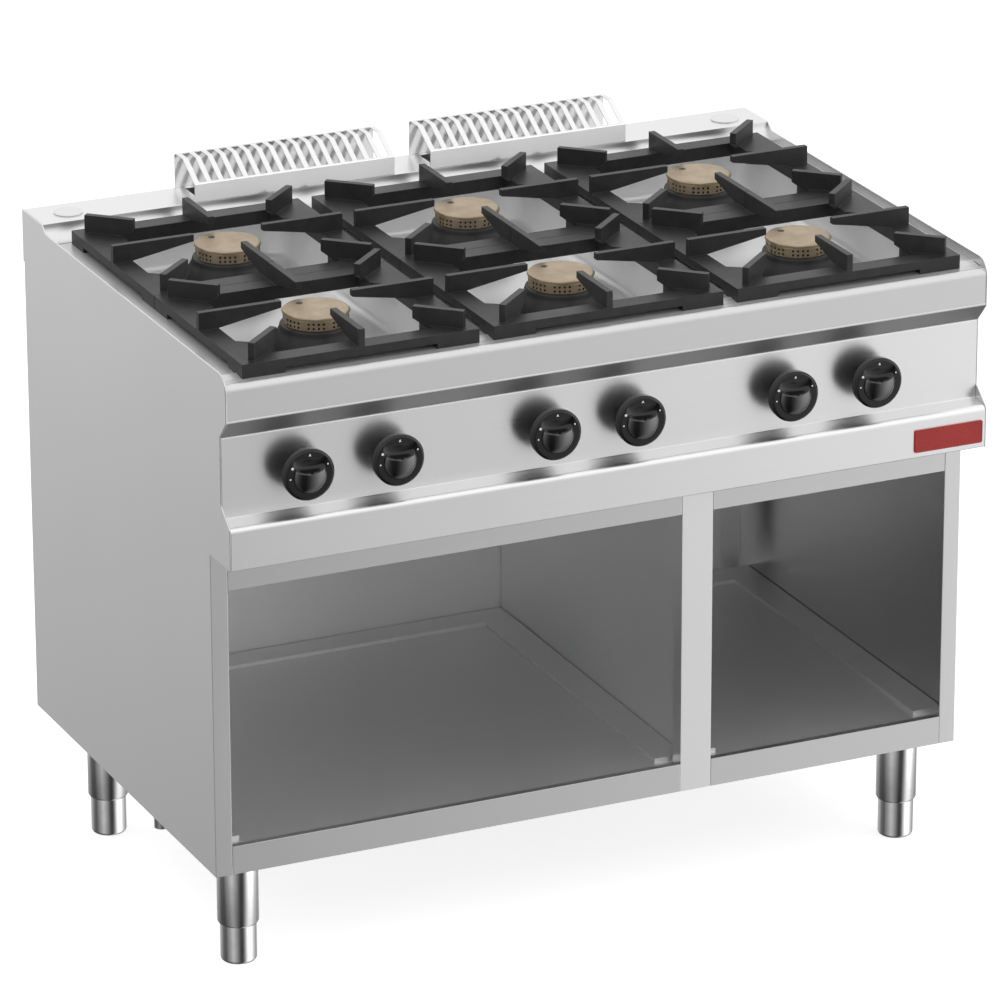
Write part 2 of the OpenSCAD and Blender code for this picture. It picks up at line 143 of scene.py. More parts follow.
# brightness from straight down (0) to straight up (1)
STUDIO_HEIGHT = [(0.0, 0.2), (0.25, 0.4), (0.37, 0.76), (0.47, 1.0), (0.55, 1.15), (0.7, 1.3), (1.0, 1.2)]
# the same at the left, where the floor falls into shade
STUDIO_LEFT = [(0.0, 0.04), (0.294, 0.14), (0.339, 0.3), (0.383, 0.62), (0.428, 1.1), (0.472, 1.15),
               (0.55, 1.15), (0.7, 1.3), (1.0, 1.2)]
# how far the left's own fall holds, as a share of the turn round the horizon
LEFT_SHARE = [(0.0, 0), (0.07, 1), (0.2, 1), (0.3, 0), (1.0, 0)]
# the heights between which the ring gives way to an even sky
SKY_FROM, SKY_TO = 0.47, 0.72


def grey_ramp(nodes, stops):
    """A colour ramp of greys from (place, level) stops."""
    node = nodes.new("ShaderNodeValToRGB")
    elements = node.color_ramp.elements
    for index, (place, level) in enumerate(stops):
        stop = elements[index] if index < 2 else elements.new(place)
        stop.position = place
        stop.color = (level, level, level, 1)
    return node


def maths(nodes, links, kind, a, b=None):
    """One step of arithmetic on numbers or sockets."""
    node = nodes.new("ShaderNodeMath")
    node.operation = kind
    for socket, value in zip(node.inputs, (a, b)):
        if isinstance(value, (int, float)):
            socket.default_value = value
        elif value is not None:
            links.new(value, socket)
    return node.outputs[0]


def make_world():
    """A plain studio: bright to the right, softer and shaded near the floor at the left, even above."""
    world = bpy.data.worlds.new("studio")
    bpy.context.scene.world = world
    world.use_nodes = True
    nodes, links = world.node_tree.nodes, world.node_tree.links
    background = nodes["Background"]
    coords = nodes.new("ShaderNodeTexCoord")
    split = nodes.new("ShaderNodeSeparateXYZ")
    links.new(coords.outputs["Generated"], split.inputs[0])
    angle = maths(nodes, links, "ARCTAN2", split.outputs["Y"], split.outputs["X"])
    behind = atan2(cos(AZIMUTH), sin(AZIMUTH))
    turned = maths(nodes, links, "SUBTRACT", angle, behind)
    place = maths(nodes, links, "FRACT", maths(nodes, links, "DIVIDE", turned, 2 * pi))
    ring = grey_ramp(nodes, [((a + 180) / 360, level) for a, level in STUDIO_RING])
    links.new(place, ring.inputs[0])
    rise = maths(nodes, links, "ARCSINE", split.outputs["Z"])
    height = maths(nodes, links, "ADD", maths(nodes, links, "DIVIDE", rise, pi), 0.5)
    fall = grey_ramp(nodes, STUDIO_HEIGHT)
    links.new(height, fall.inputs[0])
    fall_left = grey_ramp(nodes, STUDIO_LEFT)
    links.new(height, fall_left.inputs[0])
    at_left = grey_ramp(nodes, LEFT_SHARE)
    links.new(place, at_left.inputs[0])
    falls = nodes.new("ShaderNodeMix")
    falls.data_type = "RGBA"
    links.new(at_left.outputs["Color"], falls.inputs["Factor"])
    links.new(fall.outputs["Color"], falls.inputs[6])
    links.new(fall_left.outputs["Color"], falls.inputs[7])
    above = nodes.new("ShaderNodeMapRange")
    above.interpolation_type = "SMOOTHSTEP"
    above.inputs["From Min"].default_value = SKY_FROM
    above.inputs["From Max"].default_value = SKY_TO
    links.new(height, above.inputs["Value"])
    even = nodes.new("ShaderNodeMix")
    even.data_type = "RGBA"
    even.inputs[7].default_value = (1, 1, 1, 1)
    links.new(above.outputs["Result"], even.inputs["Factor"])
    links.new(ring.outputs["Color"], even.inputs[6])
    both = nodes.new("ShaderNodeMix")
    both.data_type = "RGBA"
    both.blend_type = "MULTIPLY"
    both.inputs["Factor"].default_value = 1.0
    links.new(even.outputs[2], both.inputs[6])
    links.new(falls.outputs[2], both.inputs[7])
    links.new(both.outputs[2], background.inputs["Color"])
    background.inputs["Strength"].default_value = 1.0
    bpy.context.scene.view_settings.view_transform = "Standard"


FLOOR_SIZE = 30


def make_floor():
    """The pale floor, which only the camera sees: it neither lights nor shades the range."""
    bm = bmesh.new()
    bmesh.ops.create_grid(bm, x_segments=2, y_segments=2, size=FLOOR_SIZE)
    floor = add_piece("floor", bm, [pale_floor()], place=None)
    floor.visible_diffuse = False
    floor.visible_glossy = False
    floor.visible_shadow = False


# ---- materials ---------------------------------------------------------------------------

def new_material(name):
    material = bpy.data.materials.new(name)
    material.use_nodes = True
    nodes = material.node_tree.nodes
    return material, nodes, material.node_tree.links, nodes["Principled BSDF"]


def stretched_noise(nodes, links, scale, detail=4.0, rough=0.6):
    """Noise in the object's own metres, with its own scale along each axis."""
    coords = nodes.new("ShaderNodeTexCoord")
    mapping = nodes.new("ShaderNodeMapping")
    mapping.inputs["Scale"].default_value = scale
    noise = nodes.new("ShaderNodeTexNoise")
    noise.inputs["Scale"].default_value = 1.0
    noise.inputs["Detail"].default_value = detail
    noise.inputs["Roughness"].default_value = rough
    links.new(coords.outputs["Object"], mapping.inputs["Vector"])
    links.new(mapping.outputs["Vector"], noise.inputs["Vector"])
    return noise.outputs["Fac"]


# most of a noise texture's values lie between these
NOISE_LOW, NOISE_HIGH = 0.3, 0.7


def spread(nodes, links, value, low_end, high_end):
    """Maps a noise value to a range."""
    node = nodes.new("ShaderNodeMapRange")
    node.inputs["From Min"].default_value = NOISE_LOW
    node.inputs["From Max"].default_value = NOISE_HIGH
    node.inputs["To Min"].default_value = low_end
    node.inputs["To Max"].default_value = high_end
    links.new(value, node.inputs["Value"])
    return node.outputs["Result"]


def tinted(nodes, links, value, dark, light):
    """Maps a noise value to a colour between two."""
    node = nodes.new("ShaderNodeValToRGB")
    node.color_ramp.elements[0].position = NOISE_LOW
    node.color_ramp.elements[0].color = (*dark, 1)
    node.color_ramp.elements[1].position = NOISE_HIGH
    node.color_ramp.elements[1].color = (*light, 1)
    links.new(value, node.inputs[0])
    return node.outputs["Color"]


def bumped(nodes, links, value, distance, strength=1.0, under=None):
    """A bump of a height in metres, over another one if given."""
    node = nodes.new("ShaderNodeBump")
    node.inputs["Distance"].default_value = distance
    node.inputs["Strength"].default_value = strength
    links.new(value, node.inputs["Height"])
    if under is not None:
        links.new(under, node.inputs["Normal"])
    return node.outputs["Normal"]


def brushed_steel(name, axis, tone=0.6, roughness=0.3, brushing=0.5, bump=0.000003, metallic=1.0):
    """Stainless sheet with fine brush lines along one axis, faint smudges and a stretched gloss."""
    material, nodes, links, shader = new_material(name)
    fine, coarse = [2600.0] * 3, [700.0] * 3
    fine["XYZ".index(axis)], coarse["XYZ".index(axis)] = 3.0, 1.5
    hairs = stretched_noise(nodes, links, fine, 4.0, 0.7)
    bands = stretched_noise(nodes, links, coarse, 3.0, 0.5)
    smudges = stretched_noise(nodes, links, (4, 4, 4), 4.0, 0.55)
    tint = tinted(nodes, links, hairs, (tone * 0.98,) * 3, (tone * 1.02, tone * 1.02, tone * 1.025))
    links.new(tint, shader.inputs["Base Color"])
    lines = spread(nodes, links, bands, roughness - 0.015, roughness + 0.015)
    clouds = spread(nodes, links, smudges, -0.02, 0.03)
    links.new(maths(nodes, links, "ADD", lines, clouds), shader.inputs["Roughness"])
    links.new(bumped(nodes, links, hairs, bump), shader.inputs["Normal"])
    shader.inputs["Metallic"].default_value = metallic
    shader.inputs["Anisotropic"].default_value = brushing
    tangent = nodes.new("ShaderNodeTangent")
    tangent.direction_type = "RADIAL"
    tangent.axis = axis
    links.new(tangent.outputs[0], shader.inputs["Tangent"])
    return material


def cast_iron(name, tone=0.012, roughness=0.42, grit=900, bump=0.00012):
    """Matt enamelled casting: a pebbled skin over faint mould waviness."""
    material, nodes, links, shader = new_material(name)
    pebbles = stretched_noise(nodes, links, (grit, grit, grit), 3.0, 0.6)
    waves = stretched_noise(nodes, links, (60, 60, 60), 3.0, 0.5)
    links.new(tinted(nodes, links, waves, (tone * 0.8,) * 3, (tone * 1.25,) * 3),
              shader.inputs["Base Color"])
    links.new(spread(nodes, links, pebbles, roughness - 0.08, roughness + 0.1),
              shader.inputs["Roughness"])
    low_bump = bumped(nodes, links, waves, bump * 2, 0.5)
    links.new(bumped(nodes, links, pebbles, bump, 0.6, low_bump), shader.inputs["Normal"])
    shader.inputs["Specular IOR Level"].default_value = 0.36
    return material


def turned_metal(name, dark, light, roughness):
    """Machined metal with fine tool lines across its height and a little tarnish."""
    material, nodes, links, shader = new_material(name)
    lines = stretched_noise(nodes, links, (20, 20, 2500), 3.0, 0.6)
    stains = stretched_noise(nodes, links, (45, 45, 45), 4.0, 0.6)
    links.new(tinted(nodes, links, stains, dark, light), shader.inputs["Base Color"])
    links.new(spread(nodes, links, stains, roughness + 0.06, roughness - 0.03),
              shader.inputs["Roughness"])
    links.new(bumped(nodes, links, lines, 0.00001), shader.inputs["Normal"])
    shader.inputs["Metallic"].default_value = 1.0
    return material


def gloss_plastic(name, tone, roughness=0.09, shine=0.36, ior=1.5):
    """Moulded glossy plastic with slight flow marks and dust-fine scuffs."""
    material, nodes, links, shader = new_material(name)
    flow = stretched_noise(nodes, links, (90, 90, 90), 3.0, 0.5)
    scuffs = stretched_noise(nodes, links, (700, 700, 700), 4.0, 0.7)
    links.new(tinted(nodes, links, flow, (tone * 0.8,) * 3, (tone * 1.3,) * 3),
              shader.inputs["Base Color"])
    links.new(spread(nodes, links, scuffs, roughness - 0.03, roughness + 0.08),
              shader.inputs["Roughness"])
    links.new(bumped(nodes, links, flow, 0.00005, 0.25), shader.inputs["Normal"])
    shader.inputs["Specular IOR Level"].default_value = shine
    shader.inputs["IOR"].default_value = ior
    return material


def enamel(name, dark, light, roughness=0.26):
    """Glossy paint with a faint orange-peel skin."""
    material, nodes, links, shader = new_material(name)
    peel = stretched_noise(nodes, links, (400, 400, 400), 2.0, 0.5)
    cloud = stretched_noise(nodes, links, (30, 30, 30), 3.0, 0.5)
    links.new(tinted(nodes, links, cloud, dark, light), shader.inputs["Base Color"])
    links.new(spread(nodes, links, peel, roughness - 0.06, roughness + 0.06), shader.inputs["Roughness"])
    links.new(bumped(nodes, links, peel, 0.00003, 0.4), shader.inputs["Normal"])
    return material


def pale_floor():
    """A pale floor that is bright of its own, so it stays even under any light."""
    material, nodes, links, shader = new_material("pale_floor")
    cloud = stretched_noise(nodes, links, (2, 2, 2), 2.0, 0.5)
    links.new(tinted(nodes, links, cloud, (0.50, 0.50, 0.50), (0.52, 0.52, 0.52)),
              shader.inputs["Base Color"])
    shader.inputs["Roughness"].default_value = 0.9
    shader.inputs["Emission Color"].default_value = (1, 1, 1, 1)
    shader.inputs["Emission Strength"].default_value = 0.72
    return material


# ---- mesh helpers: outlines and meshes are in millimetres, with y back from the front lip ---------

def corner(before, point, after, radius, steps):
    """Points of the arc that rounds one corner."""
    to_before, to_after = (before - point).normalized(), (after - point).normalized()
    half = to_before.angle(to_after) / 2
    centre = point + (to_before + to_after).normalized() * (radius / sin(half))
    start = point + to_before * (radius / tan(half)) - centre
    end = point + to_after * (radius / tan(half)) - centre
    first, last = atan2(start.y, start.x), atan2(end.y, end.x)
    turn = (last - first + pi) % (2 * pi) - pi
    angles = [first + turn * i / steps for i in range(steps + 1)]
    return [centre + radius * Vector((cos(a), sin(a))) for a in angles]


def rounded(corners, steps=4, closed=True):
    """An outline from (x, y, radius) corners."""
    points = [Vector(c[:2]) for c in corners]
    count = len(points)
    outline = []
    for i, point in enumerate(points):
        at_end = not closed and i in (0, count - 1)
        if corners[i][2] <= 0 or at_end:
            outline.append(point)
        else:
            outline += corner(points[i - 1], point, points[(i + 1) % count], corners[i][2], steps)
    return outline


def add_loop(bm, points):
    """Adds a row of points as vertices."""
    return [bm.verts.new(p) for p in points]


def bridge(bm, first, second):
    """Faces between two closed loops of the same length; a loop may be one point repeated."""
    count = len(first)
    for k in range(count):
        ring = [first[k], first[(k + 1) % count], second[(k + 1) % count], second[k]]
        unique = [v for i, v in enumerate(ring) if v not in ring[:i]]
        if len(unique) > 2:
            bm.faces.new(unique)


def lathe(bm, outline, place, axis="z", steps=96):
    """Turns a closed (radius, height) outline about an axis through place."""
    rings = []
    for radius, height in outline:
        if radius < 0.01:
            turned = [Vector((0, 0, height))]
        else:
            turned = [Vector((radius * cos(2 * pi * k / steps), radius * sin(2 * pi * k / steps), height))
                      for k in range(steps)]
        if axis == "y":
            turned = [Vector((p.x, p.z, -p.y)) for p in turned]
        ring = add_loop(bm, [p + Vector(place) for p in turned])
        rings.append(ring if len(ring) > 1 else ring * steps)
    count = len(rings)
    for i in range(count):
        bridge(bm, rings[i], rings[(i + 1) % count])


def strip(bm, path, x0, x1):
    """A surface drawn along X over a (y, z) path."""
    a, b = [add_loop(bm, [(x, p[0], p[1]) for p in path]) for x in (x0, x1)]
    for i in range(len(path) - 1):
        bm.faces.new((a[i], a[i + 1], b[i + 1], b[i]))


def flat_with_holes(bm, outer, holes):
    """A flat face with holes, from lists of points."""
    edges = []
    for points in [outer] + holes:
        loop = add_loop(bm, points)
        edges += [bm.edges.new((loop[i - 1], loop[i])) for i in range(len(loop))]
    bmesh.ops.triangle_fill(bm, use_beauty=True, use_dissolve=False, edges=edges)


def rounded_rectangle(cx, cy, half_w, half_l, radius, z, steps=8):
    """A rectangle with round corners, as points at one height."""
    outline = rounded([(cx - half_w, cy - half_l, radius), (cx + half_w, cy - half_l, radius),
                       (cx + half_w, cy + half_l, radius), (cx - half_w, cy + half_l, radius)], steps)
    return [(p.x, p.y, z) for p in outline]


def circle(cx, cy, radius, steps=48):
    """Points of a circle."""
    return [(cx + radius * cos(2 * pi * k / steps), cy + radius * sin(2 * pi * k / steps))
            for k in range(steps)]


def thicken(bm, thickness):
    """Turns an open surface into a closed sheet on its inner side."""
    bmesh.ops.remove_doubles(bm, verts=bm.verts, dist=0.01)
    bmesh.ops.recalc_face_normals(bm, faces=bm.faces)
    up = max(bm.faces, key=lambda f: f.normal.z * f.calc_area())
    if up.normal.z < 0.5:
        bmesh.ops.reverse_faces(bm, faces=bm.faces)
    bmesh.ops.solidify(bm, geom=bm.faces[:], thickness=thickness)


def add_piece(name, bm, materials, sharp=35, place=LIP_FRAME):
    """Turns a bmesh into an object with smooth shading that breaks at sharp edges."""
    mesh = bpy.data.meshes.new(name)
    bmesh.ops.recalc_face_normals(bm, faces=bm.faces)
    if place is not None:
        bm.transform(place)
    bm.to_mesh(mesh)
    bm.free()
    for material in materials:
        mesh.materials.append(material)
    mesh.shade_smooth()
    mesh.set_sharp_from_angle(angle=radians(sharp))
    piece = bpy.data.objects.new(name, mesh)
    bpy.context.scene.collection.objects.link(piece)
    even = piece.modifiers.new("even", "WEIGHTED_NORMAL")
    even.keep_sharp = True
    return piece


def part(name, bm, material, slot, body, *nodes, sharp=35):
    """A detailed piece that stands for CAD nodes and rides on their body."""
    piece = add_piece(name, bm, [material], sharp)
    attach(piece, body)
    if nodes:
        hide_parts(*nodes)
    return piece


def finish_cad(nodes, material, bevel=0.0006):
    """Gives carried-over CAD nodes a material and softly broken edges."""
    for name in nodes:
        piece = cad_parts[name]
        mesh = piece.data
        mesh.materials.clear()
        mesh.materials.append(material)
        if "custom_normal" in mesh.attributes:
            mesh.attributes.remove(mesh.attributes["custom_normal"])
        mesh.shade_smooth()
        weld = piece.modifiers.new("weld", "WELD")
        weld.merge_threshold = 0.00001
        edge = piece.modifiers.new("edge", "BEVEL")
        edge.width = bevel
        edge.segments = 2
        edge.limit_method = "ANGLE"
        edge.angle_limit = radians(30)
        edge.harden_normals = True


# ---- the object --------------------------------------------------------------------------

satin = brushed_steel("satin_steel", "X", 0.78, 0.30)
rail_satin = brushed_steel("rail_steel", "X", 0.60, 0.30)
side_satin = brushed_steel("side_steel", "Y", 0.65, 0.22, 0.15)
worktop_steel = brushed_steel("worktop_steel", "X", 0.62, 0.36, 0.15, 0.0000008, 0.6)
# a much lighter copy of the worktop steel for the wells: painted light in the wells under the grates
well_painted_light_steel = brushed_steel("well_painted_light_steel", "Y", 0.92, 0.55, 0.0)
inner = brushed_steel("inner_steel", "X", 0.82, 0.5, 0.2)
bright = brushed_steel("grille_steel", "X", 0.66, 0.5, 0.0, metallic=0.55)
upstand_steel = brushed_steel("upstand_steel", "X", 0.68, 0.32, 0.1, 0.000001)
# a darker copy of the worktop steel for the undercut: painted shade under the rolled lip
undercut_painted_shade_steel = brushed_steel("undercut_painted_shade_steel", "X", 0.3, 0.5, 0.3, 0.000012)
# a less metallic, slightly lighter copy of the grille steel for the wall behind the bars: painted light
grille_back_lightened = brushed_steel("grille_back_painted_light_steel", "X", 0.70, 0.5, 0.0, metallic=0.25)
polished = turned_metal("polished_steel", (0.80, 0.80, 0.81), (0.88, 0.88, 0.88), 0.16)
iron = cast_iron("grate_iron", 0.018, 0.45)
burner_iron = cast_iron("burner_iron", 0.010, 0.45, 600, 0.00006)
# near-black for the walls and ends of the cap's ports: painted shade inside the ports
port_shade = cast_iron("port_painted_shade", 0.006, 0.6, 900, 0.00002)
brass = turned_metal("cap_brass", (0.32, 0.255, 0.175), (0.39, 0.31, 0.215), 0.42)
valve_brass = turned_metal("valve_brass", (0.60, 0.44, 0.20), (0.72, 0.56, 0.28), 0.3)
copper = turned_metal("tube_copper", (0.66, 0.34, 0.20), (0.78, 0.45, 0.30), 0.28)
pipe = turned_metal("pipe_steel", (0.35, 0.35, 0.35), (0.45, 0.45, 0.45), 0.35)
black_plastic = gloss_plastic("knob_plastic", 0.006)
polished_plastic = gloss_plastic("knob_grip", 0.006, 0.1, 0.5, 1.85)
mark_paint = enamel("mark_paint", (0.80, 0.80, 0.78), (0.88, 0.88, 0.86), 0.35)
red_enamel = enamel("badge_enamel", (0.32, 0.012, 0.010), (0.38, 0.018, 0.014))

# millimetres: the deck, the control panel's face, the outer radius of a fold, the sheets' thickness
# and the floor of the wells
WORK_Z = low_mm("grate_1").z
PANEL_Y = 22
FOLD = 2.2
SHEET = 2
WELL_FLOOR = 800
# the wells: middle from front to back, half width, half length, corner radius, and the fillets at the
# deck and at the floor
WELL_Y, WELL_HALF_W, WELL_HALF_L, WELL_CORNER = 326, 142, 293, 30
RIM_FILLET, FLOOR_FILLET = 2.5, 11
BURNER_HOLE = 40
# the lip: the deck's front bend, the drop to the hem, the hem's radius, and the foot of the undercut
LIP_BEND, HEM_DROP, HEM_BEAD, UNDERCUT_DROP = 9, 49.2, 1.9, 76


def make_worktop():
    """Pressed top: deck, rolled lip and undercut, with drawn wells that have filleted edges."""
    half = high_mm("worktop").x
    back = high_mm("worktop").y
    columns = [middle_mm(f"grate_{i}").x for i in (1, 2, 3)]
    rows = [middle_mm(f"grate_{i}").y for i in (1, 4)]
    bm = bmesh.new()
    rims = []
    for x in columns:
        loops = []
        for a in range(0, 91, 18):
            grow = RIM_FILLET * (1 - sin(radians(a)))
            drop = RIM_FILLET * (1 - cos(radians(a)))
            loops.append((grow, WORK_Z - drop))
        for a in range(0, 91, 15):
            grow = -FLOOR_FILLET * (1 - cos(radians(a)))
            loops.append((grow, WELL_FLOOR + FLOOR_FILLET - FLOOR_FILLET * sin(radians(a))))
        rings = [rounded_rectangle(x, WELL_Y, WELL_HALF_W + g, WELL_HALF_L + g, WELL_CORNER + g, z)
                 for g, z in loops]
        rims.append(rings[0])
        verts = [add_loop(bm, ring) for ring in rings]
        for a, b in zip(verts, verts[1:]):
            bridge(bm, a, b)
        holes = [[(px, py, WELL_FLOOR) for px, py in circle(x, y, BURNER_HOLE)] for y in rows]
        flat_with_holes(bm, rings[-1], holes)
    deck = [(-half, LIP_BEND, WORK_Z), (half, LIP_BEND, WORK_Z), (half, back, WORK_Z),
            (-half, back, WORK_Z)]
    flat_with_holes(bm, deck, rims)
    hem = [Vector((HEM_BEAD * (1 - cos(radians(a))), WORK_Z - HEM_DROP + HEM_BEAD * sin(radians(a))))
           for a in range(50, -41, -10)]
    roll = rounded([(LIP_BEND, WORK_Z, 0), (hem[0].x, WORK_Z, LIP_BEND), (hem[0].x, hem[0].y, 0)], 6,
                   closed=False)
    roll[0] = Vector((LIP_BEND, WORK_Z))
    foot_z = WORK_Z - UNDERCUT_DROP
    tuck = rounded([(hem[-1].x, hem[-1].y, 0), (PANEL_Y, foot_z, 1), (48, foot_z, 0)], 6, closed=False)
    strip(bm, roll[:-1] + hem + tuck[1:], -half, half)
    thicken(bm, SHEET)
    for face in bm.faces:
        middle = face.calc_center_median()
        # behind the lip, faces below the deck belong to the wells and take the lighter well steel: painted
        # light
        if middle.y > 30:
            face.material_index = int(middle.z < WORK_Z - 1)
        # the undercut below the hem takes the darker steel: painted shade under the lip
        elif middle.z < hem[-1].y - 1:
            face.material_index = 2
    top = part("pressed_worktop", bm, worktop_steel, "worktop_steel", "range_body", "worktop")
    top.data.materials.append(well_painted_light_steel)
    top.data.materials.append(undercut_painted_shade_steel)


def make_control_panel():
    """Folded sheet with the spindle holes, the ledge and the front fascia."""
    half = high_mm("control_panel").x
    top = high_mm("control_panel").z
    bottom = low_mm("control_panel").z
    ledge = 670
    bm = bmesh.new()
    outer = [(-half, PANEL_Y, top - FOLD), (half, PANEL_Y, top - FOLD),
             (half, PANEL_Y, ledge + 1), (-half, PANEL_Y, ledge + 1)]
    holes = []
    for i in SIXES:
        c = middle_mm(f"knob_{i}")
        holes.append([(px, PANEL_Y, pz) for px, pz in circle(c.x, c.z, 7, 32)])
    flat_with_holes(bm, outer, holes)
    head = rounded([(46, top, 0), (PANEL_Y, top, FOLD), (PANEL_Y, top - FOLD, 0)], 3, closed=False)[:-1]
    head[-1] = Vector((PANEL_Y, top - FOLD))
    strip(bm, head, -half, half)
    foot = rounded([(PANEL_Y, ledge + 1, 0), (PANEL_Y, ledge - 0.5, 1.4), (-6.4, 665.2, 8),
                    (-6.4, bottom, FOLD), (58, bottom, 0)], 7, closed=False)
    strip(bm, foot, -half, half)
    thicken(bm, SHEET)
    part("folded_panel", bm, satin, "satin_steel", "range_body", "control_panel")


def make_upstand():
    """Rear upstand with its hollow front curve, rolled front edge and flue openings."""
    half = high_mm("rear_upstand").x
    top = high_mm("rear_upstand").z
    back = high_mm("rear_upstand").y
    front, rear_bend = 647, 1.5
    flue_front, flue_back, flue_inset = 667, 712, 12
    bm = bmesh.new()
    outer = [(-half, front + 2, top), (half, front + 2, top), (half, back - rear_bend, top),
             (-half, back - rear_bend, top)]
    holes = []
    for node in GRILLES:
        x0, x1 = low_mm(node).x + flue_inset, high_mm(node).x - flue_inset
        holes.append([(x0, flue_front, top), (x1, flue_front, top), (x1, flue_back, top),
                      (x0, flue_back, top)])
    flat_with_holes(bm, outer, holes)
    radius = 23
    hollow = [Vector((front - radius + radius * cos(radians(-a)), top + radius * sin(radians(-a))))
              for a in range(8, 91, 6)]
    edge = [Vector((front + 2, top)), Vector((front + 1.0, top - 0.15)), Vector((front + 0.3, top - 0.7))]
    strip(bm, edge + hollow, -half, half)
    rear = rounded([(back - rear_bend, top, 0), (back, top, 1.4), (back, low_mm("rear_upstand").z, 0)],
                   3, closed=False)
    strip(bm, rear, -half, half)
    thicken(bm, SHEET)
    part("folded_upstand", bm, upstand_steel, "worktop_steel", "range_body", "rear_upstand")


SEAT_Z = WORK_Z + 7


def make_burner_bodies():
    """Flared castings with a smooth skirt, a machined seat and a cup in the middle."""
    bm = bmesh.new()
    seat = SEAT_Z
    skirt = [(42, seat), (47, seat - 1.4), (49.4, seat - 8.4), (54, seat - 16), (58, seat - 23.4),
             (62, seat - 33), (63, seat - 43)]
    smooth = []
    for i in range(len(skirt) - 1):
        p0 = skirt[max(i - 1, 0)]
        p1, p2 = skirt[i], skirt[i + 1]
        p3 = skirt[min(i + 2, len(skirt) - 1)]
        for s in range(4):
            t = s / 4
            smooth.append(tuple(0.5 * (2 * p1[k] + (p2[k] - p0[k]) * t
                                       + (2 * p0[k] - 5 * p1[k] + 4 * p2[k] - p3[k]) * t * t
                                       + (3 * p1[k] - p0[k] - 3 * p2[k] + p3[k]) * t ** 3) for k in (0, 1)))
    neck = low_mm("burner_bodies").z
    outline = [(0, neck), (0, neck + 6), (30, neck + 6), (30, seat - 1), (31, seat), (40, seat)]
    outline += smooth + [(63, WELL_FLOOR + 1), (62, WELL_FLOOR), (58, WELL_FLOOR), (58, seat - 42),
                         (49, seat - 27), (43, seat - 16), (38, seat - 12), (38, neck)]
    for i in SIXES:
        c = middle_mm(f"burner_cap_{i}")
        lathe(bm, outline, (c.x, c.y, 0))
    part("flared_burners", bm, burner_iron, "burner_iron", "range_body", "burner_bodies")


PORT_GROUPS = 8
PORT_COLUMNS = 4
PORT_PITCH = radians(8.8)
PORT_RADIUS = 1.65
PORT_DEPTH = 3.2
BAND_THICKNESS = 5


def port_band(bm, radius, z0, z1, z_rows):
    """The cap's outer band: groups of small round ports, one row between each pair of z_rows."""
    gap = 2 * pi / PORT_GROUPS - PORT_COLUMNS * PORT_PITCH
    angles = []
    holed = []
    for g in range(PORT_GROUPS):
        start = 2 * pi * g / PORT_GROUPS + gap / 2
        angles.append(start - gap / 2)
        holed.append(False)
        angles.append(start - gap / 6)
        holed.append(False)
        for c in range(PORT_COLUMNS):
            angles.append(start + c * PORT_PITCH)
            holed.append(True)
        angles.append(start + PORT_COLUMNS * PORT_PITCH)
        holed.append(False)
    heights = [z0] + z_rows + [z1]
    cache = {}

    def at(angle, z, r):
        key = (round(angle % (2 * pi), 5), round(z, 3), round(r, 3))
        if key not in cache:
            cache[key] = bm.verts.new((r * cos(angle), r * sin(angle), z))
        return cache[key]

    count = len(angles)
    for i in range(count):
        a0 = angles[i]
        a1 = angles[(i + 1) % count] + (2 * pi if i == count - 1 else 0)
        am = (a0 + a1) / 2
        for j in range(len(heights) - 1):
            b0, b1 = heights[j], heights[j + 1]
            mid = (b0 + b1) / 2
            rim = [at(a0, b0, radius), at(am, b0, radius), at(a1, b0, radius), at(a1, mid, radius),
                   at(a1, b1, radius), at(am, b1, radius), at(a0, b1, radius), at(a0, mid, radius)]
            if not (holed[i] and 0 < j < len(heights) - 2):
                bm.faces.new(rim)
                continue
            ring, end = [], []
            for k in range(8):
                turn = radians(-135 + 45 * k)
                across, z = am + PORT_RADIUS * cos(turn) / radius, mid + PORT_RADIUS * sin(turn)
                deep = radius - PORT_DEPTH
                ring.append(bm.verts.new((radius * cos(across), radius * sin(across), z)))
                end.append(bm.verts.new((deep * cos(across), deep * sin(across), z)))
            bridge(bm, rim, ring)
            bridge(bm, ring, end)
            bm.faces.new(end)
            # the port's walls and end take the near-black port material: painted shade inside the port
            for v in end:
                for face in v.link_faces:
                    face.material_index = 1
    inner = radius - BAND_THICKNESS
    for i in range(count):
        a0 = angles[i]
        a1 = angles[(i + 1) % count] + (2 * pi if i == count - 1 else 0)
        am = (a0 + a1) / 2
        for z in (z0, z1):
            bm.faces.new((at(a0, z, radius), at(am, z, radius), at(a1, z, radius), at(a1, z, inner),
                          at(am, z, inner), at(a0, z, inner)))
        bm.faces.new((at(a0, z0, inner), at(am, z0, inner), at(a1, z0, inner), at(a1, z1, inner),
                      at(am, z1, inner), at(a0, z1, inner)))


